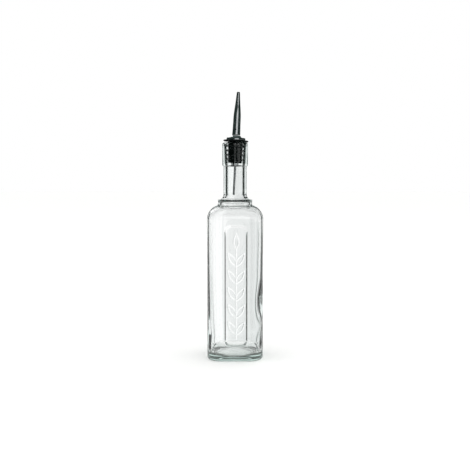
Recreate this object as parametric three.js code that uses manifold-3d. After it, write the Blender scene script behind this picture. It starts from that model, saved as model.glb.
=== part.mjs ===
// A square glass oil bottle with a pourer pressed into its mouth. Millimetres, +Z up.
// The origin is the centre of the base, on the surface that the bottle stands on. The front faces -Y.
import * as THREE from "three";
import { ParametricGeometry } from "three/addons/geometries/ParametricGeometry.js";
import { mergeVertices } from "three/addons/utils/BufferGeometryUtils.js";
import Module from "manifold-3d";

const wasm = await Module();
wasm.setup();

// The body, a tall box with round upright edges
const BODY_HALF = 30.75;
const CORNER_RADIUS = 15;
const WALL = 2.8;
const HEEL_RADIUS = 4;

// The base, with a shallow round push-up inside the ring that it stands on
const PUSH_UP_RADIUS = 22.5;
const PUSH_UP_TURN = { radius: 17, z: 1.9 };
const PUSH_UP_HEIGHT = 2.4;
const FLOOR_EDGE_Z = 4.8;
const FLOOR_MIDDLE_Z = 5.8;
const FLOOR_FILLET = 4.5;

// The shoulder, a quarter round that turns the square body into the round neck
const SHOULDER_Z = 154.7;
const SHOULDER_RADIUS = 16;
const SHOULDER_SWEEP_DEG = { outside: 72, inside: 76 };
const ROUND_FROM_HALF = 19.7;

// The bead round the foot of the neck, upright at its side and flat on top, and the groove under it
const BEAD_Z = 175.5;
const BEAD_TUBE = 0.5;
const BEAD_RADIUS = 19.2;
const BEAD_SWEEP_DEG = [0, 84];
const GROOVE = { radius: 19.1, z: 170.4 };

// The neck and its thick lip. Foot and throat are points [radius, height] of curves outside and inside.
const NECK_RADIUS = 12.85;
const NECK_FOOT = [
  [17.2, 176.1],
  [15.8, 176.6],
  [14.4, 177.8],
  [13.4, 179.4],
];
const NECK_Z = 181.5;
const BORE_RADIUS = 8.85;
const THROAT = [
  [16.2, 169.7],
  [15.7, 171.5],
  [15.3, 173.5],
  [13.9, 174.7],
  [12.3, 176.1],
  [10.5, 178.2],
];
const BORE_Z = 182;
const LIP_RADIUS = 14.2;
const LIP_Z = 213.2;
const LIP_STEP = 1;
const LIP_TOP_Z = 239;
const LIP_ROUND = 2;
const MOUTH_RADIUS = 10.3;
const MOUTH_ROUND = 0.6;

// The sunken panel on the front
const PANEL_X = 0.9;
const PANEL_WIDTH = 24.9;
const PANEL_Z = [16.9, 148.5];
const PANEL_CORNER = 7.3;
const PANEL_DEPTH = 1.35;
const PANEL_DRAFT = 1.6;

// The pourer leans a little to the right, so its flange clears the lip by GAP on that side
const GAP = 0.3;
const LEAN_DEG = 3;
const POURER_X = 0.85;
const FLANGE_RADIUS = 13.9;
const FLANGE_THICK = 1.6;
const FLANGE_EDGE = 0.5;

// The ribbed rubber stopper, measured down from the flange's underside
const CORE_RADII = [8.3, 7.7];
const STOPPER_LENGTH = 23.9;
const RIB_DEPTHS = [5.4, 10.3, 15.1, 20];
const RIB_RADII = [10.8, 10.6, 10.4, 10.2];
const RIB_ROOT = 2.2;
const RIB_EDGE = 0.9;
const STOPPER_CHAMFER = 1;

// The metal collar on the flange, hollowed up to the spout's foot
const COLLAR_RADIUS = 10.6;
const COLLAR_EDGE = 0.4;
const COLLAR_RIM = 2.6;
const COLLAR_DRAFT = 0.3;
const COLLAR_HOLLOW = [
  [8, 0.12],
  [6.3, 0.5],
];
const COLLAR_HEIGHT = 4.4;
const COLLAR_NECK_RADIUS = 5.3;

// The spout, a tapered tube through collar and stopper. Heights are above the flange's underside.
const SPOUT_WALL = 0.5;
const SPOUT_FOOT_Z = -26.4;
const SPOUT_STEM_RADIUS = 4.2;
const SPOUT_FLARE = { z: 8.2, radius: 4.5 };
const SPOUT_TAPER = [
  [10.5, 4.4],
  [19, 4.15],
  [28, 4.02],
  [34.7, 3.5],
  [40.4, 2.9],
  [46, 2.4],
];
const SPOUT_TIP = { z: 54.6, radius: 1.7 };
const VENT_RADIUS = 1;
const VENT_Z = 13.3;
const VENT_TURN_DEG = 14;

// The breather tube, from the neck up to the vent in the spout's side
const BREATHER_RADIUS = 1.2;
const BREATHER_BORE = 0.7;
const BREATHER_X = 0.6;
const BREATHER_END_Z = -58;
const BREATHER_BEND_Z = [4, 12.3];
const BREATHER_REACH = 2.8;

// How finely round shapes are cut into flats
const CORNER_STEPS = 8;
const ARC_STEPS = 6;
const NECK_FOOT_STEPS = 10;
const THROAT_STEPS = 14;
const LIP_STEPS = 4;
const RUBBER_STEPS = 28;
const METAL_STEPS = 24;
const VENT_STEPS = 12;
const BREATHER_STEPS = { around: 5, along: 12 };

// Vertices closer than this are one
const WELD = 1e-4;

const radians = THREE.MathUtils.degToRad;

// A closed three.js geometry as a solid that can be joined and cut.
function solidOf(geometry) {
  const bare = geometry.clone();
  bare.deleteAttribute("normal");
  bare.deleteAttribute("uv");
  const merged = mergeVertices(bare, WELD);
  return new wasm.Manifold(
    new wasm.Mesh({
      numProp: 3,
      vertProperties: merged.attributes.position.array,
      triVerts: new Uint32Array(merged.index.array),
    }),
  );
}

function geometryOf(solid) {
  const mesh = solid.getMesh();
  const geometry = new THREE.BufferGeometry();
  geometry.setAttribute("position", new THREE.BufferAttribute(mesh.vertProperties, 3));
  geometry.setIndex(new THREE.BufferAttribute(mesh.triVerts, 1));
  geometry.computeVertexNormals();
  return geometry;
}

// Points on an arc of a profile, each as [distance from the axis, height].
function arc(middle, z, radius, fromDeg, toDeg, steps = ARC_STEPS) {
  return Array.from({ length: steps + 1 }, (_, i) => {
    const angle = radians(fromDeg + ((toDeg - fromDeg) * i) / steps);
    return [middle + radius * Math.cos(angle), z + radius * Math.sin(angle)];
  });
}

// Points on a smooth curve through the given profile points.
function smooth(points, steps = ARC_STEPS) {
  const curve = new THREE.SplineCurve(points.map(([r, z]) => new THREE.Vector2(r, z)));
  return curve.getPoints(steps).map((p) => [p.x, p.y]);
}

// One level of a skin: its half width, the radius of its corners and its height.
function level(half, corner, z) {
  return { half, corner: Math.min(corner, half), z };
}

const roundLevels = (points) => points.map(([r, z]) => level(r, r, z));

// Corners keep their distance from a parallel wall below, and open out to a circle above.
const nested = (half) => CORNER_RADIUS - (BODY_HALF - half);

function opened(half, wallHalf, roundHalf) {
  const share = (wallHalf - half) / (wallHalf - roundHalf);
  return THREE.MathUtils.lerp(nested(wallHalf), roundHalf, Math.min(share, 1));
}

// A closed skin through levels that run from the axis at the bottom to the axis at the top.
function skin(levels) {
  const around = 4 * (CORNER_STEPS + 1);
  const place = (u, v, target) => {
    const step = Math.round(u * around) % around;
    const quarter = Math.floor(step / (CORNER_STEPS + 1));
    const angle = ((step % (CORNER_STEPS + 1)) / CORNER_STEPS + quarter) * (Math.PI / 2);
    const { half, corner, z } = levels[Math.round(v * (levels.length - 1))];
    const side = half - corner;
    const x = quarter === 0 || quarter === 3 ? side : -side;
    const y = quarter < 2 ? side : -side;
    target.set(x + corner * Math.cos(angle), y + corner * Math.sin(angle), z);
  };
  return solidOf(new ParametricGeometry(place, around, levels.length - 1));
}

function outerLevels() {
  const heel = arc(BODY_HALF - HEEL_RADIUS, HEEL_RADIUS, HEEL_RADIUS, -90, 0);
  const shoulderMiddle = BODY_HALF - SHOULDER_RADIUS;
  const shoulder = arc(shoulderMiddle, SHOULDER_Z, SHOULDER_RADIUS, 0, SHOULDER_SWEEP_DEG.outside);
  const bead = arc(BEAD_RADIUS - BEAD_TUBE, BEAD_Z, BEAD_TUBE, ...BEAD_SWEEP_DEG);
  const neckFoot = smooth([bead.at(-1), ...NECK_FOOT, [NECK_RADIUS, NECK_Z]], NECK_FOOT_STEPS);
  const lipRound = arc(LIP_RADIUS - LIP_ROUND, LIP_TOP_Z - LIP_ROUND, LIP_ROUND, 0, 90, LIP_STEPS);
  return [
    level(0, 0, PUSH_UP_HEIGHT),
    ...roundLevels([[PUSH_UP_TURN.radius, PUSH_UP_TURN.z], [PUSH_UP_RADIUS, 0]]),
    ...heel.map(([half, z]) => level(half, nested(half), z)),
    ...shoulder.map(([half, z]) => level(half, opened(half, BODY_HALF, ROUND_FROM_HALF), z)),
    level(GROOVE.radius, GROOVE.radius, GROOVE.z),
    ...roundLevels([...bead, ...neckFoot.slice(1)]),
    ...roundLevels([[NECK_RADIUS, LIP_Z - LIP_STEP], [LIP_RADIUS, LIP_Z], ...lipRound]),
    level(0, 0, LIP_TOP_Z),
  ];
}

// The space inside. Its floor is round, and its corners square up to the walls over the fillet.
function hollowLevels() {
  const half = BODY_HALF - WALL;
  const shoulderRadius = SHOULDER_RADIUS - WALL;
  const fillet = arc(half - FLOOR_FILLET, FLOOR_EDGE_Z + FLOOR_FILLET, FLOOR_FILLET, -90, 0);
  const rounded = (h, z) => THREE.MathUtils.lerp(h, nested(half), (z - FLOOR_EDGE_Z) / FLOOR_FILLET);
  const sweep = SHOULDER_SWEEP_DEG.inside;
  const shoulder = arc(half - shoulderRadius, SHOULDER_Z, shoulderRadius, 0, sweep);
  const roundHalf = shoulder.at(-1)[0];
  const throat = smooth([shoulder.at(-1), ...THROAT, [BORE_RADIUS, BORE_Z]], THROAT_STEPS);
  const mouth = [
    [BORE_RADIUS, LIP_Z],
    [MOUTH_RADIUS, LIP_TOP_Z - MOUTH_ROUND],
    [MOUTH_RADIUS + 2 * MOUTH_ROUND, LIP_TOP_Z + MOUTH_ROUND],
  ];
  return [
    level(0, 0, FLOOR_MIDDLE_Z),
    ...fillet.map(([h, z]) => level(h, rounded(h, z), z)),
    ...shoulder.map(([h, z]) => level(h, opened(h, half, roundHalf), z)),
    ...roundLevels([...throat.slice(1), ...mouth]),
    level(0, 0, LIP_TOP_Z + MOUTH_ROUND),
  ];
}

// An upright rectangle with round corners, drawn about its own centre.
function roundedRectangle(width, height, radius) {
  const [w, h] = [width / 2, height / 2];
  const shape = new THREE.Shape();
  shape.absarc(w - radius, h - radius, radius, 0, Math.PI / 2);
  shape.absarc(radius - w, h - radius, radius, Math.PI / 2, Math.PI);
  shape.absarc(radius - w, radius - h, radius, Math.PI, 1.5 * Math.PI);
  shape.absarc(w - radius, radius - h, radius, 1.5 * Math.PI, 2 * Math.PI);
  return shape;
}

// The tool that sinks the panel. It widens by the draft towards the front.
function panelTool() {
  const [bottom, top] = PANEL_Z;
  const outline = roundedRectangle(PANEL_WIDTH, top - bottom, PANEL_CORNER);
  const tool = new THREE.ExtrudeGeometry(outline, {
    depth: PANEL_DEPTH,
    steps: 1,
    curveSegments: ARC_STEPS,
    bevelThickness: PANEL_DEPTH,
    bevelSize: PANEL_DRAFT,
    bevelOffset: -PANEL_DRAFT,
    bevelSegments: 1,
  });
  tool.rotateX(Math.PI / 2);
  tool.translate(PANEL_X, -BODY_HALF, (bottom + top) / 2);
  return solidOf(tool);
}

function bottle() {
  return geometryOf(skin(outerLevels()).subtract(skin(hollowLevels())).subtract(panelTool()));
}

// A turned piece from profile points [radius, height] that close on themselves or end on the axis.
function turned(points, steps) {
  const profile = points.map(([r, z]) => new THREE.Vector2(r, z));
  const geometry = new THREE.LatheGeometry(profile, steps);
  geometry.rotateX(Math.PI / 2);
  return geometry;
}

// The space inside lip and neck that the stopper may fill, in the bottle's own frame.
function mouthSpace() {
  const points = [
    [0, SHOULDER_Z],
    [BORE_RADIUS - GAP, SHOULDER_Z],
    [BORE_RADIUS - GAP, LIP_Z],
    [MOUTH_RADIUS - GAP, LIP_TOP_Z - MOUTH_ROUND],
    [2 * LIP_RADIUS, LIP_TOP_Z + GAP],
    [2 * LIP_RADIUS, 2 * LIP_TOP_Z],
    [0, 2 * LIP_TOP_Z],
  ];
  return turned(points, RUBBER_STEPS);
}

// How wide the rubber core is at a depth below the flange.
function coreRadius(depth) {
  return THREE.MathUtils.lerp(...CORE_RADII, depth / STOPPER_LENGTH);
}

function stopper(frame) {
  const ribs = RIB_DEPTHS.flatMap((depth, i) => [
    [coreRadius(depth), -depth + RIB_ROOT],
    [RIB_RADII[i], -depth + RIB_EDGE],
    [RIB_RADII[i], -depth - RIB_EDGE],
    [coreRadius(depth), -depth - RIB_ROOT],
  ]);
  const inside = SPOUT_STEM_RADIUS + GAP;
  const points = [
    [inside, FLANGE_THICK],
    [FLANGE_RADIUS - FLANGE_EDGE, FLANGE_THICK],
    [FLANGE_RADIUS, FLANGE_THICK / 2],
    [FLANGE_RADIUS - FLANGE_EDGE, 0],
    [CORE_RADII[0], 0],
    ...ribs,
    [CORE_RADII[1], STOPPER_CHAMFER - STOPPER_LENGTH],
    [CORE_RADII[1] - STOPPER_CHAMFER, -STOPPER_LENGTH],
    [inside, -STOPPER_LENGTH],
    [inside, FLANGE_THICK],
  ];
  const space = mouthSpace().applyMatrix4(frame.matrixWorld.clone().invert());
  return geometryOf(solidOf(turned(points.reverse(), RUBBER_STEPS)).intersect(solidOf(space)));
}

function collar() {
  const [inside, foot] = [SPOUT_STEM_RADIUS + GAP, FLANGE_THICK + GAP];
  const hollow = smooth([
    [COLLAR_RADIUS - COLLAR_DRAFT - COLLAR_EDGE, foot + COLLAR_RIM],
    ...COLLAR_HOLLOW.map(([r, rise]) => [r, foot + COLLAR_RIM + rise]),
    [COLLAR_NECK_RADIUS, foot + COLLAR_HEIGHT],
  ]);
  const points = [
    [inside, foot],
    [COLLAR_RADIUS - COLLAR_EDGE, foot],
    [COLLAR_RADIUS, foot + COLLAR_EDGE],
    [COLLAR_RADIUS - COLLAR_DRAFT, foot + COLLAR_RIM - COLLAR_EDGE],
    ...hollow,
    [inside, foot + COLLAR_HEIGHT],
    [inside, foot],
  ];
  return turned(points, METAL_STEPS);
}

// The small hole low in the spout's side that lets air down the breather tube.
function ventTool() {
  const tool = new THREE.CylinderGeometry(VENT_RADIUS, VENT_RADIUS, 2 * SPOUT_STEM_RADIUS, VENT_STEPS);
  tool.translate(0, -SPOUT_STEM_RADIUS, 0);
  tool.rotateZ(-radians(VENT_TURN_DEG));
  tool.translate(0, 0, VENT_Z);
  return solidOf(tool);
}

// The flare sits just above the collar, and the bore inside it stays straight.
function spout() {
  const collarTop = FLANGE_THICK + GAP + COLLAR_HEIGHT;
  const outside = [
    [SPOUT_STEM_RADIUS, SPOUT_FOOT_Z],
    [SPOUT_STEM_RADIUS, collarTop - GAP],
    [SPOUT_FLARE.radius, collarTop + GAP],
    [SPOUT_FLARE.radius, SPOUT_FLARE.z],
    ...SPOUT_TAPER.map(([z, r]) => [r, z]),
    [SPOUT_TIP.radius, SPOUT_TIP.z],
  ];
  const inside = outside
    .filter(([r]) => r !== SPOUT_FLARE.radius)
    .map(([r, z]) => [r - SPOUT_WALL, z]);
  const points = [...outside, ...inside.reverse(), outside[0]];
  return geometryOf(solidOf(turned(points, METAL_STEPS)).subtract(ventTool()));
}

// Straight up the spout a little right of its axis, then bent forward to end at the vent.
function breatherTube() {
  const turn = radians(VENT_TURN_DEG);
  const end = new THREE.Vector3(-Math.sin(turn), -Math.cos(turn), 0).multiplyScalar(BREATHER_REACH);
  end.z = VENT_Z;
  const path = new THREE.CurvePath();
  const foot = new THREE.Vector3(BREATHER_X, 0, BREATHER_END_Z);
  const [bendStart, bendMiddle] = BREATHER_BEND_Z.map((z) => new THREE.Vector3(BREATHER_X, 0, z));
  path.add(new THREE.LineCurve3(foot, bendStart));
  path.add(new THREE.QuadraticBezierCurve3(bendStart, bendMiddle, end));
  const ring = new THREE.Shape();
  ring.absarc(0, 0, BREATHER_RADIUS, 0, 2 * Math.PI);
  const bore = new THREE.Path();
  bore.absarc(0, 0, BREATHER_BORE, 0, 2 * Math.PI, true);
  ring.holes.push(bore);
  return new THREE.ExtrudeGeometry(ring, {
    extrudePath: path,
    steps: BREATHER_STEPS.along,
    curveSegments: BREATHER_STEPS.around,
  });
}

function mesh(name, geometry, color, roughness, metalness) {
  const material = new THREE.MeshStandardMaterial({ color, roughness, metalness });
  const made = new THREE.Mesh(geometry, material);
  made.name = name;
  return made;
}

const part = new THREE.Group();
const glass = mesh("bottle", bottle(), "#dfe8e5", 0.04, 0);
glass.material.transparent = true;
glass.material.opacity = 0.35;
part.add(glass);

const pourer = new THREE.Group();
const flangeDrop = FLANGE_RADIUS * Math.sin(radians(LEAN_DEG));
pourer.position.set(POURER_X, 0, LIP_TOP_Z + flangeDrop + GAP);
pourer.rotation.y = radians(LEAN_DEG);
part.add(pourer);
part.updateMatrixWorld(true);
pourer.add(mesh("stopper", stopper(pourer), "#141617", 0.55, 0));
pourer.add(mesh("collar", collar(), "#b9bcbd", 0.22, 1));
pourer.add(mesh("spout", spout(), "#b4b7b8", 0.2, 1));
pourer.add(mesh("breather_tube", breatherTube(), "#8f9394", 0.3, 1));

export default part;
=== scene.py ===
"""A square glass oil bottle with a pourer in its mouth, in a plain white studio.

The glass is one moulded skin: outside, lip and inside in one. The pourer's pieces are turned in
its own frame and then set into the mouth, where they lean a little to the right.
"""

import logging
import math
from dataclasses import dataclass
from enum import Enum

import bpy
import numpy as np
from bpy.types import Material, Node, NodeSocket, NodeTree, Object
from mathutils import Matrix, Vector


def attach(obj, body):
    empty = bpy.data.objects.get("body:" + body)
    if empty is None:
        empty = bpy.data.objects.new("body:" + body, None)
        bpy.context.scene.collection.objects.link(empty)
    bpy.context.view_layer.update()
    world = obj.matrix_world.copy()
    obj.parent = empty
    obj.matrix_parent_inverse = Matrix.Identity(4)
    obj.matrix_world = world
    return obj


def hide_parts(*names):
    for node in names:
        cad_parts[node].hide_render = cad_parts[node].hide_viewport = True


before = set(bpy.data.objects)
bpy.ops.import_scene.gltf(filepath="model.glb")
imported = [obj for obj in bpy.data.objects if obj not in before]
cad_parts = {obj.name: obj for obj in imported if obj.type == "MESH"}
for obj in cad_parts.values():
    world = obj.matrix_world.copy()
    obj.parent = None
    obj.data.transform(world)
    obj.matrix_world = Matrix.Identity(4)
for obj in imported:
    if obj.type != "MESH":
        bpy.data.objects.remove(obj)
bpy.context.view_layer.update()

MM = 0.001
WELD_MM = 0.001
TINY = 1e-6
SHARP_DEG = 50.0
VENT_SHARP_DEG = 40.0
WHITE = (1.0, 1.0, 1.0, 1.0)
LOG = logging.getLogger("oil_bottle")

Profile = list[tuple[float, float]]
Points = tuple[tuple[float, float], ...]


def linear(colour: str) -> tuple[float, float, float, float]:
    """Turns an sRGB colour into the linear one that shaders work in.

    Args:
        colour: The colour as six hex digits.

    Returns:
        Linear red, green and blue, and an alpha of one.
    """
    parts = [int(colour[i : i + 2], 16) / 255 for i in (0, 2, 4)]
    red, green, blue = (c / 12.92 if c <= 0.04045 else ((c + 0.055) / 1.055) ** 2.4 for c in parts)
    return (red, green, blue, 1.0)


def add_node(tree: NodeTree, kind: str, inputs: dict | None = None, **settings) -> Node:
    """Adds a shader node with its settings, values and links.

    Args:
        tree: The material's or world's node tree.
        kind: The node's type, without the ShaderNode in front.
        inputs: A value, an output socket or a node, which gives its first output, for each
            input by its name or number.
        settings: Properties of the node itself.

    Returns:
        The new node.
    """
    node = tree.nodes.new("ShaderNode" + kind)
    for name, value in settings.items():
        setattr(node, name, value)
    for key, value in (inputs or {}).items():
        if isinstance(value, Node):
            value = value.outputs[0]
        if isinstance(value, NodeSocket):
            tree.links.new(value, node.inputs[key])
        else:
            node.inputs[key].default_value = value
    return node


def new_material(name: str) -> Material:
    """Makes a material whose node tree is empty.

    Args:
        name: The material's name.

    Returns:
        The material.
    """
    material = bpy.data.materials.new(name)
    material.use_nodes = True
    material.node_tree.nodes.clear()
    return material


def deselect() -> None:
    """Leaves edit mode and deselects everything."""
    if bpy.context.object and bpy.context.object.mode != "OBJECT":
        bpy.ops.object.mode_set(mode="OBJECT")
    bpy.ops.object.select_all(action="DESELECT")


def pick(piece: Object) -> None:
    """Selects one object alone and makes it the active one.

    Args:
        piece: The object.
    """
    deselect()
    piece.select_set(True)
    bpy.context.view_layer.objects.active = piece


def close_up() -> None:
    """Merges the doubles, turns the faces outwards and leaves edit mode."""
    bpy.ops.mesh.select_all(action="SELECT")
    bpy.ops.mesh.remove_doubles(threshold=WELD_MM * MM)
    bpy.ops.mesh.normals_make_consistent(inside=False)
    bpy.ops.object.mode_set(mode="OBJECT")


def spline(points: Profile, steps: int) -> Profile:
    """Draws a smooth curve through profile points.

    Args:
        points: The points, each as (distance from the axis, height).
        steps: How many steps each stretch between two points gets.

    Returns:
        The points of the curve, the given ones among them.
    """
    ends = [points[0], *points, points[-1]]
    curve = []
    for before, start, end, after in zip(ends, ends[1:], ends[2:], ends[3:]):
        for step in range(steps):
            t = step / steps
            curve.append(tuple(
                0.5 * (
                    2 * b + (c - a) * t
                    + (2 * a - 5 * b + 4 * c - d) * t**2
                    + (3 * b - a - 3 * c + d) * t**3
                )
                for a, b, c, d in zip(before, start, end, after)
            ))
    return [*curve, points[-1]]


def arc(middle: float, height: float, radius: float, start: float, end: float, steps: int) -> Profile:
    """Draws an arc of a profile.

    Args:
        middle: The arc's centre, as a distance from the axis.
        height: The height of its centre.
        radius: Its radius.
        start: The angle that it starts at, in degrees up from straight outwards.
        end: The angle that it ends at.
        steps: The number of steps.

    Returns:
        The points of the arc.
    """
    angles = np.radians(np.linspace(start, end, steps + 1))
    return [(middle + radius * math.cos(a), height + radius * math.sin(a)) for a in angles]


def stations(*stretches: tuple[float, float, float]) -> list[float]:
    """Divides neighbouring stretches of a line, each with its own pitch.

    Args:
        stretches: Start, end and greatest pitch of each stretch.

    Returns:
        The places along the line, both ends among them.
    """
    places = []
    for start, end, pitch in stretches:
        count = math.ceil(abs(end - start) / pitch)
        places += list(np.linspace(start, end, count, endpoint=False))
    return [*places, stretches[-1][1]]


def smoothstep(value: np.ndarray) -> np.ndarray:
    """Rises smoothly from nought at nought to one at one."""
    t = np.clip(value, 0, 1)
    return t * t * (3 - 2 * t)


def turned(x: np.ndarray, y: np.ndarray, angle: np.ndarray) -> np.ndarray:
    """Turns points about the upright axis by angles in radians. The result has a row for each."""
    cosine, sine = np.cos(angle), np.sin(angle)
    return np.stack([x * cosine - y * sine, x * sine + y * cosine], axis=1)


def turn_piece(name: str, profile: Profile, around: int) -> Object:
    """Models a turned piece: a ring is extruded from level to level and scaled at each.

    Args:
        name: The piece's name.
        profile: The points of its closed outline in millimetres, the first one repeated at the end.
        around: The number of steps round the axis.

    Returns:
        The piece, its doubles merged and its faces turned outwards.
    """
    deselect()
    radius, height = profile[0]
    bpy.ops.mesh.primitive_circle_add(vertices=around, radius=radius * MM, location=(0, 0, height * MM))
    piece = bpy.context.object
    piece.name = name
    bpy.ops.object.transform_apply()
    bpy.ops.object.mode_set(mode="EDIT")
    for next_radius, next_height in profile[1:]:
        rise = (0, 0, (next_height - height) * MM)
        scale = next_radius / radius
        bpy.ops.mesh.extrude_region_move(TRANSFORM_OT_translate={"value": rise})
        bpy.ops.transform.resize(value=(scale, scale, 1), center_override=(0, 0, next_height * MM))
        radius, height = next_radius, next_height
    close_up()
    return piece


def finish_piece(piece: Object, material: Material, node: str, sharp: float = SHARP_DEG) -> None:
    """Dresses a piece and puts it in its CAD node's place.

    Args:
        piece: The piece.
        material: Its material.
        node: The CAD node that it stands for.
        sharp: Edges that turn further than this, in degrees, stay sharp.
    """
    pick(piece)
    bpy.ops.object.shade_smooth_by_angle(angle=math.radians(sharp))
    piece.data.materials.clear()
    piece.data.materials.append(material)
    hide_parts(node)
    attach(piece, "root")
    LOG.info("%s: %d faces, %s", piece.name, len(piece.data.polygons), material.name)


@dataclass(frozen=True)
class SodaLimeGlass:
    """Clear soda-lime glass as it leaves the mould: clear, a little grey-green where it is thick."""

    name: str = "soda_lime_glass_moulded"
    ior: float = 1.52
    tint: str = "9fc8bf"
    density: float = 15.0
    shadow: str = "eef3f1"
    orange_peel_mm: float = 7.0
    orange_peel_depth: float = 0.00002

    def material(self) -> Material:
        """Builds the glass. Shadow rays pass it, so that the floor stays as light as under real glass.

        Returns:
            The material.
        """
        material = new_material(self.name)
        tree = material.node_tree
        place = add_node(tree, "TexCoord")
        # The mould leaves a swell too soft to feel, which makes straight reflections a little uneven.
        peel = add_node(tree, "TexNoise", {
            "Vector": place.outputs["Object"], "Scale": 1 / (self.orange_peel_mm * MM), "Detail": 1.0,
        })
        swell = add_node(tree, "Bump", {
            "Height": peel, "Distance": self.orange_peel_depth, "Strength": 1.0,
        })
        glass = add_node(tree, "BsdfPrincipled", {
            "Base Color": WHITE, "Roughness": 0.0, "IOR": self.ior,
            "Transmission Weight": 1.0, "Normal": swell,
        })
        clear = add_node(tree, "BsdfTransparent", {"Color": linear(self.shadow)})
        path = add_node(tree, "LightPath")
        both = add_node(tree, "MixShader", {
            0: path.outputs["Is Shadow Ray"], 1: glass, 2: clear,
        })
        body = add_node(tree, "VolumeAbsorption", {"Color": linear(self.tint), "Density": self.density})
        add_node(tree, "OutputMaterial", {"Surface": both, "Volume": body})
        return material


@dataclass(frozen=True)
class MouldedRubber:
    """Black nitrile rubber from a blasted mould: deep black, satin, with a soft broad highlight."""

    name: str = "nitrile_rubber_moulded"
    dark: str = "040606"
    pale: str = "0a0e0e"
    roughness: tuple[float, float] = (0.42, 0.55)
    ior: float = 1.52
    gloss: float = 0.05
    blast_mm: float = 0.5
    blast_depth: float = 0.00002
    blast_strength: float = 0.6
    bloom_mm: float = 6.0

    def material(self) -> Material:
        """Builds the rubber. The blasted grain is drawn twice as coarse as it is, so that it shows.

        Returns:
            The material.
        """
        material = new_material(self.name)
        tree = material.node_tree
        place = add_node(tree, "TexCoord")
        bloom = add_node(tree, "TexNoise", {
            "Vector": place.outputs["Object"], "Scale": 1 / (self.bloom_mm * MM), "Detail": 3.0,
        })
        colour = add_node(tree, "Mix", {
            0: bloom, "A": linear(self.dark), "B": linear(self.pale),
        }, data_type="RGBA")
        grain = add_node(tree, "TexNoise", {
            "Vector": place.outputs["Object"], "Scale": 1 / (self.blast_mm * MM), "Detail": 2.0,
        })
        shine = add_node(tree, "MapRange", {
            "Value": bloom, "To Min": self.roughness[0], "To Max": self.roughness[1],
        })
        relief = add_node(tree, "Bump", {
            "Height": grain, "Distance": self.blast_depth, "Strength": self.blast_strength,
        })
        rubber = add_node(tree, "BsdfPrincipled", {
            "Base Color": colour.outputs["Result"], "Roughness": shine, "IOR": self.ior,
            "Specular IOR Level": self.gloss, "Normal": relief,
        })
        add_node(tree, "OutputMaterial", {"Surface": rubber})
        return material


class Grain(Enum):
    """Which way a metal surface was worked: the stretch of its marks along X, Y and Z."""

    TURNED = (0.15, 0.15, 6.0)
    DRAWN = (6.0, 6.0, 0.12)


@dataclass(frozen=True)
class StainlessSteel:
    """Bright stainless steel, with the fine marks that turning, drawing or swaging left."""

    name: str
    grain: Grain
    colour: tuple[str, str] = ("b3b6b8", "c9cbcc")
    roughness: tuple[float, float] = (0.08, 0.15)
    mark_mm: float = 1.4
    mark_range: tuple[float, float] = (0.3, 0.7)
    depth: float = 0.000006
    strength: float = 0.5
    smear_mm: float = 9.0

    def material(self, lean: float) -> Material:
        """Builds the steel with its marks square to or along the leaning axis.

        Args:
            lean: The pourer's lean in radians.

        Returns:
            The material.
        """
        material = new_material(self.name)
        tree = material.node_tree
        place = add_node(tree, "TexCoord")
        upright = add_node(tree, "Mapping", {
            "Vector": place.outputs["Object"], "Rotation": (0, -lean, 0),
        })
        stretched = add_node(tree, "Mapping", {
            "Vector": upright, "Scale": self.grain.value,
        })
        marks = add_node(tree, "TexNoise", {
            "Vector": stretched, "Scale": 1 / (self.mark_mm * MM), "Detail": 3.0, "Roughness": 0.6,
        })
        smear = add_node(tree, "TexNoise", {
            "Vector": upright, "Scale": 1 / (self.smear_mm * MM), "Detail": 2.0,
        })
        colour = add_node(tree, "Mix", {
            0: smear, "A": linear(self.colour[0]), "B": linear(self.colour[1]),
        }, data_type="RGBA")
        shine = add_node(tree, "MapRange", {
            "Value": marks, "From Min": self.mark_range[0], "From Max": self.mark_range[1],
            "To Min": self.roughness[0], "To Max": self.roughness[1],
        })
        relief = add_node(tree, "Bump", {
            "Height": marks, "Distance": self.depth, "Strength": self.strength,
        })
        steel = add_node(tree, "BsdfPrincipled", {
            "Base Color": colour.outputs["Result"], "Metallic": 1.0, "Roughness": shine,
            "Normal": relief,
        })
        add_node(tree, "OutputMaterial", {"Surface": steel})
        return material


@dataclass(frozen=True)
class Level:
    """One level of the glass skin.

    half is half its width, corner the radius of its corners and z its height. face says that the
    front's panel is sunk into it, and wall that the ripples of the inner wall move it.
    """

    half: float
    corner: float
    z: float
    face: bool = False
    wall: bool = False


@dataclass(frozen=True)
class Ripple:
    """A place where the inner wall is thicker, or thinner where depth is below nought.

    turn is its bearing in degrees from the front towards the right, z its height, and the spreads
    say how far it reaches round and up the wall.
    """

    turn: float
    z: float
    depth: float
    turn_spread: float
    z_spread: float


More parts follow.
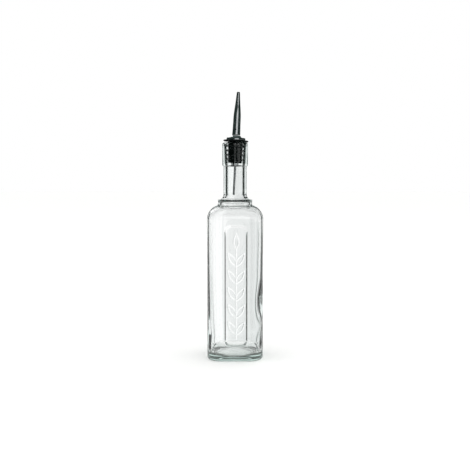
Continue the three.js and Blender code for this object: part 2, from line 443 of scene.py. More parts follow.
@dataclass(frozen=True)
class Sprig:
    """A generic upright sprig in raised lines: a stem, leaves in pairs and one leaf at the top.

    belly is half a leaf's width and line half a drawn line's. A bulge below one moves the leaf's
    widest place towards its foot.
    """

    foot_z: float = 25.0
    top_z: float = 140.0
    pairs: int = 5
    first: float = 5.0
    length: float = 16.5
    belly: float = 2.7
    bulge: float = 0.85
    angle: float = 33.0
    line: float = 0.8
    relief: float = 0.45

    def leaves(self) -> list[tuple[float, float]]:
        """Places the leaves.

        Returns:
            The height of each leaf's foot on the stem, and its turn from upright in degrees.
        """
        pitch = (self.top_z - self.length - self.foot_z - self.first) / self.pairs
        feet = [self.foot_z + self.first + step * pitch for step in range(self.pairs)]
        paired = [(z, side * self.angle) for z in feet for side in (-1, 1)]
        return [*paired, (self.top_z - self.length, 0.0)]

    def height(self, x: np.ndarray, z: float) -> np.ndarray:
        """How high the sprig stands above the panel at each place.

        Args:
            x: Places across the panel, in millimetres.
            z: Their height.

        Returns:
            The height of the relief there, in millimetres.
        """
        on_stem = self.foot_z < z < self.top_z - self.length
        drawn = smoothstep(1 - np.abs(x) / self.line) * on_stem
        for foot, turn in self.leaves():
            sine, cosine = math.sin(math.radians(turn)), math.cos(math.radians(turn))
            along = (x * sine + (z - foot) * cosine) / self.length
            across = np.abs(x * cosine - (z - foot) * sine)
            edge = self.belly * np.sin(math.pi * np.clip(along, 0, 1) ** self.bulge)
            line = smoothstep(1 - np.abs(across - edge) / self.line)
            drawn = np.maximum(drawn, np.where((along > 0) & (along < 1), line, 0))
        return self.relief * drawn


@dataclass(frozen=True)
class SkinSteps:
    """How finely the glass skin is cut.

    The whole numbers are the steps of its curves. The others are the greatest pitches of its
    straight stretches in millimetres, and how far round the panel's edges the fine pitch reaches.
    """

    dome: int = 3
    heel: int = 12
    shoulder: int = 26
    ledge: int = 4
    bead: int = 6
    foot: int = 5
    lip_step: int = 4
    crown: int = 8
    mouth: int = 5
    inner_shoulder: int = 22
    throat: int = 6
    fillet: int = 12
    corner: int = 12
    neck: float = 3.0
    bore: float = 4.0
    wall: float = 2.6
    coarse: float = 1.5
    above_panel: float = 1.2
    plain: float = 4.5
    fine: float = 0.26
    relief_columns: float = 0.36
    relief_levels: float = 0.46
    margin_x: float = 1.9
    margin_z: float = 1.5


@dataclass
class Bottle:
    """The glass, outside and inside. Sizes are in millimetres.

    The points of its curves are (distance from the axis, height), those of lip_step with heights
    above lip_z. wall gives (height, thickness). The panel's edge widens by panel_ease towards the
    top, from ease_start corner radii below it.
    """

    half: float = 30.75
    corner: float = 15.0
    heel: float = 4.0
    push_up: Points = ((9.0, 2.3), (16.5, 1.85), (20.8, 0.75), (22.5, 0.0))
    push_up_height: float = 2.4
    shoulder_z: float = 154.7
    shoulder_radius: float = 16.0
    shoulder_sweep: float = 72.0
    inner_sweep: float = 76.0
    round_from: float = 19.7
    groove: tuple[float, float] = (19.25, 170.08)
    ledge: Points = ((19.08, 170.6), (19.1, 172.0))
    bead_radius: float = 19.2
    bead_z: float = 175.5
    bead_tube: float = 0.5
    bead_sweep: float = 84.0
    neck_foot: Points = ((17.2, 176.1), (15.8, 176.6), (14.4, 177.8), (13.4, 179.4))
    neck_radius: float = 12.85
    neck_z: float = 181.5
    lip_radius: float = 14.2
    lip_z: float = 213.2
    lip_step: Points = ((12.85, -0.9), (13.1, -0.45), (13.95, 0.05), (14.2, 0.5))
    lip_under: float = 1.6
    lip_run: float = 2.0
    lip_top: float = 239.0
    lip_round: float = 2.0
    mouth_radius: float = 10.3
    mouth_round: float = 0.6
    bore: float = 8.85
    bore_z: float = 182.0
    throat: Points = (
        (16.2, 169.7), (15.7, 171.5), (15.3, 173.5), (13.9, 174.7), (12.3, 176.1), (10.5, 178.2),
    )
    wall: Points = ((12, 3.4), (30, 3.3), (63, 2.6), (90, 2.25), (120, 2.1), (160, 2.0))
    floor_edge: float = 4.8
    floor_middle: float = 5.8
    floor_fillet: float = 4.5
    floor_rings: tuple[float, ...] = (0.75, 0.5, 0.25)
    panel_x: float = 0.9
    panel_half: float = 11.65
    panel_z: tuple[float, float] = (17.7, 147.7)
    panel_corner: float = 6.5
    panel_depth: float = 1.35
    panel_slope: float = 1.6
    panel_ease: float = 1.2
    ease_start: float = 1.5
    sprig_from: float = 0.99
    sprig: Sprig = Sprig()
    steps: SkinSteps = SkinSteps()
    ripples: tuple[Ripple, ...] = (
        Ripple(60, 66, 1.7, 10, 10),
        Ripple(57, 37, -1.5, 10, 7),
        Ripple(-54, 27, 0.4, 12, 8),
        Ripple(-90, 132, -0.25, 40, 16),
        Ripple(90, 130, -0.2, 42, 14),
        Ripple(40, 100, 0.25, 26, 15),
        Ripple(180, 70, 0.4, 50, 22),
    )

    def nested(self, half: float) -> float:
        """The corner radius that keeps a skin at one distance from the body's outside."""
        return self.corner - (self.half - half)

    def opened(self, half: float, wall_half: float, round_half: float) -> float:
        """The corner radius on the shoulder, which opens from square to round.

        Args:
            half: Half the width at this height.
            wall_half: Half the width where the shoulder starts.
            round_half: Half the width where the skin is round.

        Returns:
            The corner radius in millimetres.
        """
        share = min((wall_half - half) / (wall_half - round_half), 1)
        start = self.nested(wall_half)
        return start + (round_half - start) * share

    def bore_at(self, z: float) -> float:
        """The radius of the bore at a height in the lip."""
        share = (z - self.lip_z) / (self.lip_top - self.mouth_round - self.lip_z)
        return self.bore + (self.mouth_radius - self.bore) * min(max(share, 0), 1)

    def outside(self) -> list[Level]:
        """Draws the outer skin.

        Returns:
            Its levels from the middle of the underside to the mouth's edge.
        """
        steps = self.steps
        dome = spline([(0.0, self.push_up_height), *self.push_up], steps.dome)
        levels = [Level(r, r, z) for r, z in dome]
        for half, z in arc(self.half - self.heel, self.heel, self.heel, -90, 0, steps.heel):
            levels.append(Level(half, self.nested(half), z))
        bottom, top = self.panel_z
        margin = steps.margin_z
        heights = stations(
            (self.heel, bottom - margin, steps.coarse),
            (bottom - margin, bottom + margin, steps.fine),
            (bottom + margin, top - margin, steps.relief_levels),
            (top - margin, top + margin, steps.fine),
            (top + margin, self.shoulder_z, steps.above_panel),
        )
        levels += [Level(self.half, self.corner, z, face=True) for z in heights[1:-1]]
        middle = self.half - self.shoulder_radius
        sweep = self.shoulder_sweep
        for half, z in arc(middle, self.shoulder_z, self.shoulder_radius, 0, sweep, steps.shoulder):
            levels.append(Level(half, self.opened(half, self.half, self.round_from), z))
        tube, rounding = self.bead_tube, self.lip_round
        bead = arc(self.bead_radius - tube, self.bead_z, tube, 0, self.bead_sweep, steps.bead)
        ledge = spline([self.groove, *self.ledge, bead[0]], steps.ledge)
        foot = spline([bead[-1], *self.neck_foot, (self.neck_radius, self.neck_z)], steps.foot)
        neck_run = (self.neck_z, self.lip_z - self.lip_under, steps.neck)
        neck = [(self.neck_radius, z) for z in stations(neck_run)]
        under = spline([neck[-1], *((r, self.lip_z + rise) for r, rise in self.lip_step)], steps.lip_step)
        lip_run = (self.lip_z + self.lip_run, self.lip_top - rounding, steps.neck)
        lip = [(self.lip_radius, z) for z in stations(lip_run)]
        crown = arc(self.lip_radius - rounding, self.lip_top - rounding, rounding, 0, 90, steps.crown)
        points = [*ledge[:-1], *bead, *foot[1:], *neck[1:], *under[1:], *lip[:-1], *crown]
        return levels + [Level(r, r, z) for r, z in points]

    def inside(self) -> list[Level]:
        """Draws the inner skin.

        Returns:
            Its levels from the mouth's edge down to the middle of the inner floor.
        """
        steps, rounding = self.steps, self.mouth_round
        heights, walls = zip(*self.wall)
        edge = arc(self.mouth_radius + rounding, self.lip_top - rounding, rounding, 90, 180, steps.mouth)
        lip = [(self.bore_at(z), z) for z in stations((self.lip_top - rounding, self.lip_z, steps.bore))]
        bore = [(self.bore, z) for z in stations((self.lip_z, self.bore_z, steps.bore))]
        top_wall = walls[-1]
        half, radius = self.half - top_wall, self.shoulder_radius - top_wall
        shoulder = arc(half - radius, self.shoulder_z, radius, self.inner_sweep, 0, steps.inner_shoulder)
        throat = spline([bore[-1], *reversed(self.throat), shoulder[0]], steps.throat)
        levels = [Level(r, r, z) for r, z in [*edge, *lip[1:], *bore[1:], *throat[1:-1]]]
        round_half = shoulder[0][0]
        levels += [Level(h, self.opened(h, half, round_half), z, wall=True) for h, z in shoulder]
        floor_z = self.floor_edge + self.floor_fillet
        for z in stations((self.shoulder_z, floor_z, steps.wall))[1:-1]:
            inner = self.half - float(np.interp(z, heights, walls))
            levels.append(Level(inner, self.nested(inner), z, wall=True))
        inner = self.half - walls[0]
        corner, edge_half = self.nested(inner), inner - self.floor_fillet
        fillet = arc(edge_half, floor_z, self.floor_fillet, 0, -90, steps.fillet)
        for h, z in fillet:
            rounded = (floor_z - z) / self.floor_fillet
            levels.append(Level(h, corner + (h - corner) * rounded, z, wall=True))
        for share in self.floor_rings:
            rise = (self.floor_middle - self.floor_edge) * (1 - share**2)
            levels.append(Level(edge_half * share, edge_half * share, self.floor_edge + rise))
        return [*levels, Level(0, 0, self.floor_middle)]

    def columns(self) -> np.ndarray:
        """Places the skin's columns, close together where the panel's edges are.

        Returns:
            Each column's share of the way round, from the front's middle to the right and back to it.
        """
        steps = self.steps
        side = self.half - self.corner
        bend = self.corner * math.pi / 2
        bend_pitch = bend / steps.corner
        before, beyond = self.panel_half - steps.margin_x, self.panel_half + steps.margin_x
        half_way = stations(
            (0, before, steps.relief_columns),
            (before, beyond, steps.fine),
            (beyond, side, steps.coarse),
            (side, side + bend, bend_pitch),
            (side + bend, 3 * side + bend, steps.plain),
            (3 * side + bend, 3 * side + 2 * bend, bend_pitch),
            (3 * side + 2 * bend, 4 * side + 2 * bend, steps.plain),
        )
        shares = np.array(half_way) / (2 * half_way[-1])
        return np.concatenate([shares, 1 - shares[-2::-1]])

    def panel(self, x: np.ndarray, z: float) -> np.ndarray:
        """How deep the front is sunk at each place, with the sprig standing up from the panel.

        Args:
            x: Places across the front.
            z: Their height.

        Returns:
            The depth there, in millimetres.
        """
        bottom, top = self.panel_z
        x = x - self.panel_x
        out_x = np.abs(x) - (self.panel_half - self.panel_corner)
        out_z = np.abs(z - (bottom + top) / 2) - ((top - bottom) / 2 - self.panel_corner)
        beyond = np.hypot(np.maximum(out_x, 0), np.maximum(out_z, 0))
        beyond = beyond + np.minimum(np.maximum(out_x, out_z), 0)
        eased = float(smoothstep((z - top) / self.panel_corner + self.ease_start))
        slope = self.panel_slope + self.panel_ease * eased
        sunk = self.panel_depth * smoothstep(0.5 - (beyond - self.panel_corner) / slope)
        return sunk - self.sprig.height(x, z) * (sunk > self.sprig_from * self.panel_depth)

    def place(self, level: Level, shares: np.ndarray) -> np.ndarray:
        """Places one level's points.

        Args:
            level: The level.
            shares: The columns' shares of the way round.

        Returns:
            The points in metres, one row each.
        """
        side = level.half - level.corner
        bend = level.corner * math.pi / 2
        quarter = np.floor(shares * 4)
        along = (shares * 4 - quarter) * (2 * side + bend)
        turn = np.clip((along - side) / max(level.corner, TINY), 0, math.pi / 2)
        x = np.minimum(along, side) + level.corner * np.sin(turn)
        y = np.clip(along - side - bend, 0, None) - side - level.corner * np.cos(turn)
        if level.face:
            front = (quarter == 0) | (quarter == 4)
            left = quarter == 3
            y = y + np.where(front & (along <= side), self.panel(along, level.z), 0)
            mirrored = 2 * side + bend - along
            x = x - np.where(left & (mirrored <= side), self.panel(-mirrored, level.z), 0)
        facing = quarter * math.pi / 2
        place = turned(x, y, facing)
        if level.wall:
            out = turned(np.sin(turn), -np.cos(turn), facing)
            bearing = np.degrees(np.arctan2(place[:, 0], -place[:, 1]))
            place -= out * self.thickening(bearing, level.z)[:, None]
        return np.column_stack([place, np.full(len(shares), level.z)]) * MM

    def thickening(self, bearing: np.ndarray, z: float) -> np.ndarray:
        """How much thicker than even the wall is.

        Args:
            bearing: Bearings in degrees, from the front towards the right.
            z: The height.

        Returns:
            The extra thickness at each bearing, in millimetres.
        """
        extra = np.zeros(len(bearing))
        for ripple in self.ripples:
            aside = (bearing - ripple.turn + 180) % 360 - 180
            extra += ripple.depth * np.exp(
                -0.5 * (aside / ripple.turn_spread) ** 2 - 0.5 * ((z - ripple.z) / ripple.z_spread) ** 2
            )
        return extra

    def build(self) -> Object:
        """Wraps a grid round into the glass and closes its seam and its two poles.

        The outline turns from square to round on its way up, so the grid's points are placed by
        the level and column that they belong to.

        Returns:
            The glass.
        """
        levels, shares = [*self.outside(), *self.inside()], self.columns()
        deselect()
        across, up = len(shares) - 1, len(levels) - 1
        bpy.ops.mesh.primitive_grid_add(x_subdivisions=across, y_subdivisions=up, size=1)
        glass = bpy.context.object
        glass.name = "glass_bottle"
        flat = np.empty(len(glass.data.vertices) * 3)
        glass.data.vertices.foreach_get("co", flat)
        flat = flat.reshape(-1, 3)
        column = np.rint((flat[:, 0] + 0.5) * across).astype(int)
        row = np.rint((flat[:, 1] + 0.5) * up).astype(int)
        points = np.array([self.place(level, shares) for level in levels])
        glass.data.vertices.foreach_set("co", points[row, column].ravel())
        bpy.ops.object.mode_set(mode="EDIT")
        close_up()
        return glass


@dataclass
class Pourer:
    """The pourer's own frame, and the sizes that its pieces share.

    Sizes are in millimetres, and heights are above the flange's underside.
    """

    lip_top: float
    lean: float = math.radians(3)
    x: float = 0.85
    gap: float = 0.3
    flange_radius: float = 13.9
    flange_thick: float = 1.6
    stem: float = 4.2
    fit: float = 0.04
    vent_z: float = 13.3
    vent_turn: float = math.radians(14)

    def matrix(self) -> Matrix:
        """The turn and move from the pourer's frame to the bottle's, in metres."""
        rise = self.lip_top + self.flange_radius * math.sin(self.lean) + self.gap
        return Matrix.Translation(Vector((self.x, 0, rise)) * MM) @ Matrix.Rotation(self.lean, 4, "Y")

    def seat(self, piece: Object) -> None:
        """Sets a piece into the mouth and applies its place.

        Args:
            piece: The piece, made in the pourer's frame.
        """
        pick(piece)
        piece.matrix_world = self.matrix()
        bpy.ops.object.transform_apply()


@dataclass
class Stopper:
    """The ribbed rubber stopper with its thin flange."""

    pourer: Pourer
    bottle: Bottle
    core: tuple[float, float] = (8.3, 7.7)
    length: float = 23.9
    rib_depths: tuple[float, ...] = (5.4, 10.3, 15.1, 20.0)
    rib_radii: tuple[float, ...] = (10.8, 10.6, 10.4, 10.2)
    rib_root: float = 2.2
    rib_half: float = 0.9
    rib_round: float = 0.5
    rib_blend: tuple[float, float] = (0.45, 0.35)
    flange_rings: tuple[float, ...] = (8.0, 11.4)
    root_round: float = 0.8
    foot_round: float = 1.0
    hole_chamfer: float = 0.4
    squeeze: float = 0.12
    around: int = 120

    def profile(self) -> Profile:
        """Draws the outline, from the hole's top over the flange and down the ribs.

        Returns:
            The closed outline.
        """
        hole = self.pourer.stem + self.pourer.fit
        thick = self.pourer.flange_thick
        edge = arc(self.pourer.flange_radius - thick / 2, thick / 2, thick / 2, 90, -90, steps=10)
        root, rings = self.root_round, [(radius, thick) for radius in self.flange_rings]
        points = [(hole, thick), *rings, *edge, (self.core[0] + root, 0)]
        points += arc(self.core[0] + root, -root, root, 90, 180, steps=4)[1:]
        out, up = self.rib_blend
        for depth, rib in zip(self.rib_depths, self.rib_radii):
            core = self.core[0] + (self.core[1] - self.core[0]) * depth / self.length
            points += spline([
                (core, -depth + self.rib_root), (core + out, -depth + self.rib_half + up),
                (rib - self.rib_round, -depth + self.rib_half), (rib, -depth),
                (rib - self.rib_round, -depth - self.rib_half), (core + out, -depth - self.rib_half - up),
                (core, -depth - self.rib_root),
            ], steps=4)
        foot, cut = self.foot_round, self.hole_chamfer
        points += arc(self.core[1] - foot, foot - self.length, foot, 0, -90, steps=6)
        return [*points, (hole + cut, -self.length), (hole, cut - self.length), (hole, thick)]

    def build(self) -> Object:
        """Turns the stopper, seats it, and squeezes its ribs to the bore.

        Returns:
            The stopper.
        """
        piece = turn_piece("rubber_stopper", self.profile(), self.around)
        self.pourer.seat(piece)
        for vertex in piece.data.vertices:
            z = vertex.co.z / MM
            if z < self.bottle.lip_top - self.bottle.mouth_round:
                most = (self.bottle.bore_at(z) - self.squeeze) * MM
                reach = math.hypot(vertex.co.x, vertex.co.y)
                if reach > most:
                    vertex.co.x *= most / reach
                    vertex.co.y *= most / reach
        return piece


@dataclass
class Collar:
    """The pressed metal collar on the flange, hollowed up to the spout's foot."""

    pourer: Pourer
    radius: float = 10.6
    edge: float = 0.5
    rim: float = 2.6
    rim_start_deg: float = 8.0
    draft: float = 0.3
    lift: float = 0.02
    hollow: Points = ((8.0, 0.12), (6.3, 0.5))
    height: float = 4.4
    neck: float = 5.3
    neck_edge: tuple[float, float] = (0.3, 0.5)
    around: int = 128

    def build(self) -> Object:
        """Turns the collar from its rolled rim and its hollow, and seats it.

        Returns:
            The collar.
        """
        hole = self.pourer.stem + self.pourer.fit
        foot = self.pourer.flange_thick + self.lift
        top = foot + self.pourer.gap + self.height
        low = arc(self.radius - self.edge, foot + self.edge, self.edge, -90, 0, steps=5)
        inset = self.radius - self.draft - self.edge
        high = arc(inset, foot + self.rim - self.edge, self.edge, self.rim_start_deg, 90, steps=5)
        swept = [(r, foot + self.rim + rise) for r, rise in self.hollow]
        in_by, down_by = self.neck_edge
        hollow = spline([high[-1], *swept, (self.neck, top - down_by), (self.neck - in_by, top)], steps=6)
        points = [(hole, foot), *low, *high, *hollow[1:], (hole, top), (hole, foot)]
        piece = turn_piece("steel_collar", points, self.around)
        self.pourer.seat(piece)
        return piece


@dataclass
class Spout:
    """The tapered metal tube that passes through collar and stopper, with its vent hole."""

    pourer: Pourer
    wall: float = 0.5
    foot: float = -26.4
    foot_trim: float = 0.2
    pitch: float = 3.0
    flare: tuple[float, float] = (4.5, 6.75)
    flare_below: tuple[float, float] = (1.2, 0.6)
    flare_round: tuple[float, float] = (0.05, 0.5)
    flare_top: float = 8.2
    taper: Points = (
        (4.4, 10.5), (4.15, 19.0), (4.02, 28.0), (3.5, 34.7), (2.9, 40.4), (2.4, 46.0),
    )
    tip: tuple[float, float] = (1.7, 54.3)
    taper_from: float = 9.0
    bore_top: float = 6.0
    bore_pitch: float = 8.0
    vent_radius: float = 1.0
    vent_around: int = 32
    around: int = 96

    def profile(self) -> Profile:
        """Draws the tube's outside and inside.

        Returns:
            The closed outline.
        """
        stem, foot = self.pourer.stem, self.foot + self.foot_trim
        radius, z = self.flare
        low, high = self.flare_below
        inset, rise = self.flare_round
        out = [(stem, h) for h in stations((foot, z - low, self.pitch))]
        out += spline([
            (stem, z - high), (radius - inset, z), (radius, z + rise), (radius, self.flare_top),
        ], steps=3)
        out += spline([(radius, self.flare_top), *self.taper, self.tip], steps=8)[1:]
        lip = arc(self.tip[0] - self.wall / 2, self.tip[1], self.wall / 2, 0, 180, steps=6)
        bore = spline([(stem, self.taper_from), *self.taper, self.tip], steps=6)
        back = [(r - self.wall, h) for r, h in reversed(bore)]
        down = [(stem - self.wall, h) for h in stations((self.bore_top, foot, self.bore_pitch))]
        rim = arc(stem - self.wall / 2, self.foot + self.wall / 2, self.wall / 2, 180, 360, steps=6)
        return [*out[1:-1], *lip, *back[1:], *down[:-1], *rim, out[1]]

    def build(self) -> Object:
        """Turns the tube, drills its vent and seats it.

        Returns:
            The spout.
        """
        piece = turn_piece("steel_spout", self.profile(), self.around)
        deselect()
        bpy.ops.mesh.primitive_cylinder_add(
            vertices=self.vent_around, radius=self.vent_radius * MM, depth=2 * self.pourer.stem * MM,
            location=(0, -self.pourer.stem * MM, 0), rotation=(math.pi / 2, 0, 0),
        )
        drill = bpy.context.object
        turn = Matrix.Rotation(-self.pourer.vent_turn, 4, "Z")
        drill.matrix_world = Matrix.Translation((0, 0, self.pourer.vent_z * MM)) @ turn @ drill.matrix_world
        bpy.ops.object.transform_apply()
        pick(piece)
        cut = piece.modifiers.new("vent", "BOOLEAN")
        cut.operation = "DIFFERENCE"
        cut.solver = "EXACT"
        cut.object = drill
        bpy.ops.object.modifier_apply(modifier=cut.name)
        bpy.data.objects.remove(drill)
        self.pourer.seat(piece)
        return piece


@dataclass
class Breather:
    """The thin air tube that hangs in the neck and ends behind the vent hole."""

    pourer: Pourer
    radius: float = 1.2
    wall: float = 0.5
    x: float = 0.6
    foot: float = -58.0
    bend: tuple[float, float] = (4.0, 12.3)
    bend_steps: int = 10
    pitch: float = 6.0
    reach: float = 2.8
    around: int = 32

    def route(self) -> list[Vector]:
        """Follows the tube from its foot up beside the axis and forward to the vent.

        Returns:
            Points of the route in millimetres.
        """
        turn = self.pourer.vent_turn
        start, middle = (Vector((self.x, 0, z)) for z in self.bend)
        end = Vector((-math.sin(turn) * self.reach, -math.cos(turn) * self.reach, self.pourer.vent_z))
        straight = [Vector((self.x, 0, z)) for z in stations((self.foot, self.bend[0], self.pitch))]
        curve = []
        for t in np.linspace(0, 1, self.bend_steps + 1)[1:]:
            curve.append(start * (1 - t) ** 2 + middle * 2 * t * (1 - t) + end * t**2)
        return [*straight, *curve]

    def build(self) -> Object:
        """Draws a ring up the route, gives the tube its wall and seats it.

        Returns:
            The breather tube.
        """
        route = self.route()
        deselect()
        bpy.ops.mesh.primitive_circle_add(
            vertices=self.around, radius=self.radius * MM, location=route[0] * MM,
        )
        piece = bpy.context.object
        piece.name = "breather_tube_steel"
        bpy.ops.object.transform_apply()
        bpy.ops.object.mode_set(mode="EDIT")
        for start, end in zip(route, route[1:]):
            bpy.ops.mesh.extrude_region_move(TRANSFORM_OT_translate={"value": (end - start) * MM})
        close_up()
        thick = piece.modifiers.new("wall", "SOLIDIFY")
        thick.thickness = self.wall * MM
        thick.offset = -1
        bpy.ops.object.modifier_apply(modifier=thick.name)
        self.pourer.seat(piece)
        return piece


@dataclass(frozen=True)
class Panel:
    """A white panel far off, which only light bent by the glass sees. Angles are in degrees.

    bearing is from straight behind the bottle towards the right. Up to half on either side of it
    the panel is full white, and it fades out over soft. It reaches from low to high.
    """

    bearing: float
    half: float
    soft: float
    low: float
    high: float
    level: float


@dataclass(frozen=True)
class Softbox:
    """A softbox that faces the pourer.

    bearing is in degrees from straight behind the bottle towards the right, and rise in degrees
    above the pourer. size is its width and height in metres, and power is in watts.
    """

    name: str
    bearing: float
    rise: float
    size: tuple[float, float]
    power: float


@dataclass
class Studio:
    """A white sweep with soft light and the camera. Sizes are in metres.

    The camera sees plain white. Light that the glass has bent sees white panels with black velvet
    between them, which draws the edges of the glass dark, as in a bright-field picture. Polished
    surfaces reflect a dim room with a round glow straight behind the bottle and a grey ceiling.
    """

    eye: tuple[float, float, float] = (-0.0001, -0.790, 0.190)
    pitch: float = math.radians(3.876)
    lens: float = 54.25
    sensor: float = 36.0
    near_clip: float = 0.02
    floor_size: float = 60.0
    floor_colour: str = "f8f8f7"
    daylight: float = 1.2
    velvet: float = 0.01
    shade: str = "8db3a9"
    near_floor: tuple[float, float] = (0.05, 0.08)
    panel_fade: float = 2.0
    panels: tuple[Panel, ...] = (
        Panel(-10, 8, 6, -22, 45, 1.12),
        Panel(3, 9, 9, -22, 45, 0.9),
        Panel(0, 29, 7, -2.5, 30, 0.97),
        Panel(-45, 14, 8, -60, -15, 0.97),
        Panel(-90, 13, 7, -20, 30, 0.97),
        Panel(135, 14, 8, -32, 27, 0.97),
        Panel(180, 8, 6, -32, 27, 0.97),
        Panel(90, 8, 6, -32, 27, 0.97),
    )
    glow_deg: tuple[float, float] = (26.0, 12.0)
    glow: tuple[float, float] = (0.1, 0.7)
    ceiling_rise: tuple[float, float] = (0.5, 0.95)
    ceiling: float = 0.3
    softboxes: tuple[Softbox, ...] = (
        Softbox("key", 170, 14, (1.1, 0.3), 1.0),
        Softbox("rim", -40, 36, (0.5, 0.5), 2.0),
    )
    softbox_distance: float = 1.2
    pourer_z: float = 0.2
    bounces: int = 24
    glossy_bounces: int = 12

    def camera(self) -> None:
        """Sets up the camera at the height of the neck, looking a little down."""
        data = bpy.data.cameras.new("camera")
        data.lens = self.lens
        data.sensor_width = self.sensor
        data.clip_start = self.near_clip
        data.clip_end = self.floor_size
        camera = bpy.data.objects.new("camera", data)
        camera.location = self.eye
        camera.rotation_euler = (math.pi / 2 - self.pitch, 0, 0)
        bpy.context.scene.collection.objects.link(camera)
        bpy.context.scene.camera = camera

    def floor(self) -> None:
        """Lays the pale floor. Bent light passes it away from the bottle, and sees the panels."""
        deselect()
        bpy.ops.mesh.primitive_plane_add(size=self.floor_size)
        floor = bpy.context.object
        floor.name = "floor"
        material = new_material("floor_paper_white")
        tree = material.node_tree
        place = add_node(tree, "TexCoord")
        path = add_node(tree, "LightPath")
        away = add_node(tree, "VectorMath", {0: place.outputs["Object"]}, operation="LENGTH")
        start, end = self.near_floor
        far = add_node(tree, "MapRange", {"Value": away.outputs["Value"], "From Min": start, "From Max": end})
        hidden = add_node(tree, "Math", {
            0: far, 1: path.outputs["Is Transmission Ray"],
        }, operation="MULTIPLY")
        paper = add_node(tree, "BsdfDiffuse", {"Color": linear(self.floor_colour)})
        passed = add_node(tree, "BsdfTransparent", {"Color": WHITE})
        both = add_node(tree, "MixShader", {0: hidden, 1: paper, 2: passed})
        add_node(tree, "OutputMaterial", {"Surface": both})
        floor.data.materials.append(material)

    def panel_light(self, tree: NodeTree, panel: Panel, towards: NodeSocket) -> Node:
        """Works out how much light comes from one white panel.

        Args:
            tree: The world's node tree.
            panel: The panel.
            towards: The direction looked in.

        Returns:
            The panel's level where it stands, and nought beside it.
        """
        turn = math.radians(panel.bearing)
        forward = Vector((math.sin(turn), math.cos(turn), 0))
        right = Vector((math.cos(turn), -math.sin(turn), 0))
        ahead, aside = (
            add_node(tree, "VectorMath", {0: towards, 1: way}, operation="DOT_PRODUCT").outputs["Value"]
            for way in (forward, right)
        )
        edges = [
            add_node(tree, "Math", {0: ahead, 1: math.tan(math.radians(angle))}, operation="MULTIPLY")
            for angle in (panel.half, panel.half + panel.soft)
        ]
        off = add_node(tree, "Math", {0: aside}, operation="ABSOLUTE")
        lit = add_node(tree, "MapRange", {
            "Value": off, "From Min": edges[0], "From Max": edges[1], "To Min": panel.level, "To Max": 0.0,
        }, interpolation_type="SMOOTHSTEP")
        rise = add_node(tree, "SeparateXYZ", {0: towards}).outputs["Z"]
        ends = (panel.low - self.panel_fade, panel.low, panel.high, panel.high + self.panel_fade)
        sines = [math.sin(math.radians(angle)) for angle in ends]
        above = add_node(tree, "MapRange", {"Value": rise, "From Min": sines[0], "From Max": sines[1]})
        below = add_node(tree, "MapRange", {
            "Value": rise, "From Min": sines[2], "From Max": sines[3], "To Min": 1.0, "To Max": 0.0,
        })
        facing = add_node(tree, "Math", {0: ahead, 1: 0.0}, operation="GREATER_THAN")
        for share in (above, below, facing):
            lit = add_node(tree, "Math", {0: lit, 1: share}, operation="MULTIPLY")
        return lit

    def world(self) -> None:
        """Lights the studio: white to the camera, with the panels for bent light."""
        world = bpy.data.worlds.new("studio")
        world.use_nodes = True
        bpy.context.scene.world = world
        tree = world.node_tree
        tree.nodes.clear()
        path = add_node(tree, "LightPath")
        place = add_node(tree, "TexCoord")
        split = add_node(tree, "SeparateXYZ", {0: place.outputs["Generated"]})
        through = self.velvet
        for panel in self.panels:
            lit = self.panel_light(tree, panel, place.outputs["Generated"])
            through = add_node(tree, "Math", {0: through, 1: lit}, operation="MAXIMUM")
        edges = [math.cos(math.radians(angle)) for angle in self.glow_deg]
        behind = add_node(tree, "MapRange", {
            "Value": split.outputs["Y"], "From Min": edges[0], "From Max": edges[1],
            "To Min": self.glow[0], "To Max": self.glow[1],
        })
        ceiling = add_node(tree, "MapRange", {
            "Value": split.outputs["Z"], "From Min": self.ceiling_rise[0], "From Max": self.ceiling_rise[1],
            "To Min": 0.0, "To Max": self.ceiling,
        })
        gloss = add_node(tree, "Math", {0: behind, 1: ceiling}, operation="MAXIMUM")
        bent = add_node(tree, "Mix", {
            0: path.outputs["Is Transmission Ray"], 2: gloss, 3: through,
        }, data_type="FLOAT")
        # Paper and rubber are lit by the daylight, also where they get it through the glass.
        seen = add_node(tree, "Mix", {
            0: add_node(tree, "Math", {0: path.outputs["Diffuse Depth"], 1: 1.0}, operation="MINIMUM"),
            2: bent, 3: self.daylight,
        }, data_type="FLOAT")
        straight = add_node(tree, "Mix", {
            0: path.outputs["Is Camera Ray"], 2: seen, 3: 1.0,
        }, data_type="FLOAT")
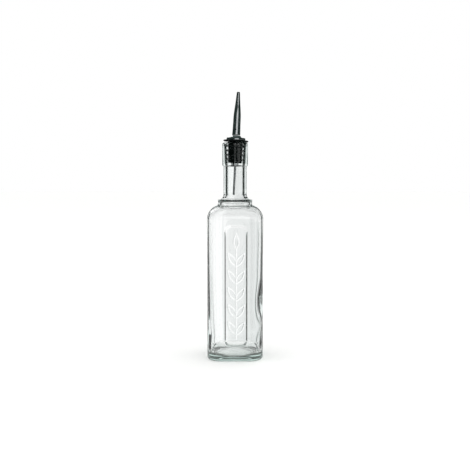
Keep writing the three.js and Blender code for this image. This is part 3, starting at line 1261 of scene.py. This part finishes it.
        # The dimmer the light, the more of the studio's green shade it has.
        colour = add_node(tree, "Mix", {
            0: straight, "A": linear(self.shade), "B": WHITE,
        }, data_type="RGBA")
        sky = add_node(tree, "Background", {
            "Color": colour.outputs["Result"], "Strength": straight,
        })
        add_node(tree, "OutputWorld", {"Surface": sky})

    def hang(self, box: Softbox) -> None:
        """Hangs a softbox, which only reflections show.

        Args:
            box: The softbox.
        """
        data = bpy.data.lights.new(box.name, "AREA")
        data.shape = "RECTANGLE"
        data.size, data.size_y = box.size
        data.energy = box.power
        lamp = bpy.data.objects.new(box.name, data)
        turn, lift = math.radians(box.bearing), math.radians(box.rise)
        towards = Vector((math.sin(turn) * math.cos(lift), math.cos(turn) * math.cos(lift), math.sin(lift)))
        lamp.location = Vector((0, 0, self.pourer_z)) + towards * self.softbox_distance
        lamp.rotation_euler = (-towards).to_track_quat("-Z", "Y").to_euler()
        lamp.visible_camera = False
        lamp.visible_diffuse = False
        lamp.visible_transmission = False
        bpy.context.scene.collection.objects.link(lamp)

    def build(self) -> None:
        """Sets up camera, floor, world and lights."""
        self.camera()
        self.floor()
        self.world()
        for box in self.softboxes:
            self.hang(box)
        scene = bpy.context.scene
        scene.view_settings.view_transform = "Standard"
        scene.cycles.max_bounces = self.bounces
        scene.cycles.transmission_bounces = self.bounces
        scene.cycles.glossy_bounces = self.glossy_bounces
        scene.cycles.use_denoising = True


def main() -> None:
    """Builds the studio, the glass and the pourer, and dresses them."""
    logging.basicConfig(level=logging.INFO, format="%(message)s")
    Studio().build()
    bottle = Bottle()
    pourer = Pourer(bottle.lip_top)
    finish_piece(bottle.build(), SodaLimeGlass().material(), "bottle")
    finish_piece(Stopper(pourer, bottle).build(), MouldedRubber().material(), "stopper")
    collar = StainlessSteel("stainless_steel_pressed", Grain.TURNED).material(pourer.lean)
    finish_piece(Collar(pourer).build(), collar, "collar")
    spout = StainlessSteel("stainless_steel_swaged", Grain.TURNED).material(pourer.lean)
    finish_piece(Spout(pourer).build(), spout, "spout", VENT_SHARP_DEG)
    satin = StainlessSteel("stainless_steel_drawn", Grain.DRAWN, ("8d9091", "9ea1a2"), (0.25, 0.38))
    tube = satin.material(pourer.lean)
    finish_piece(Breather(pourer).build(), tube, "breather_tube")


if __name__ == "__main__":
    main()
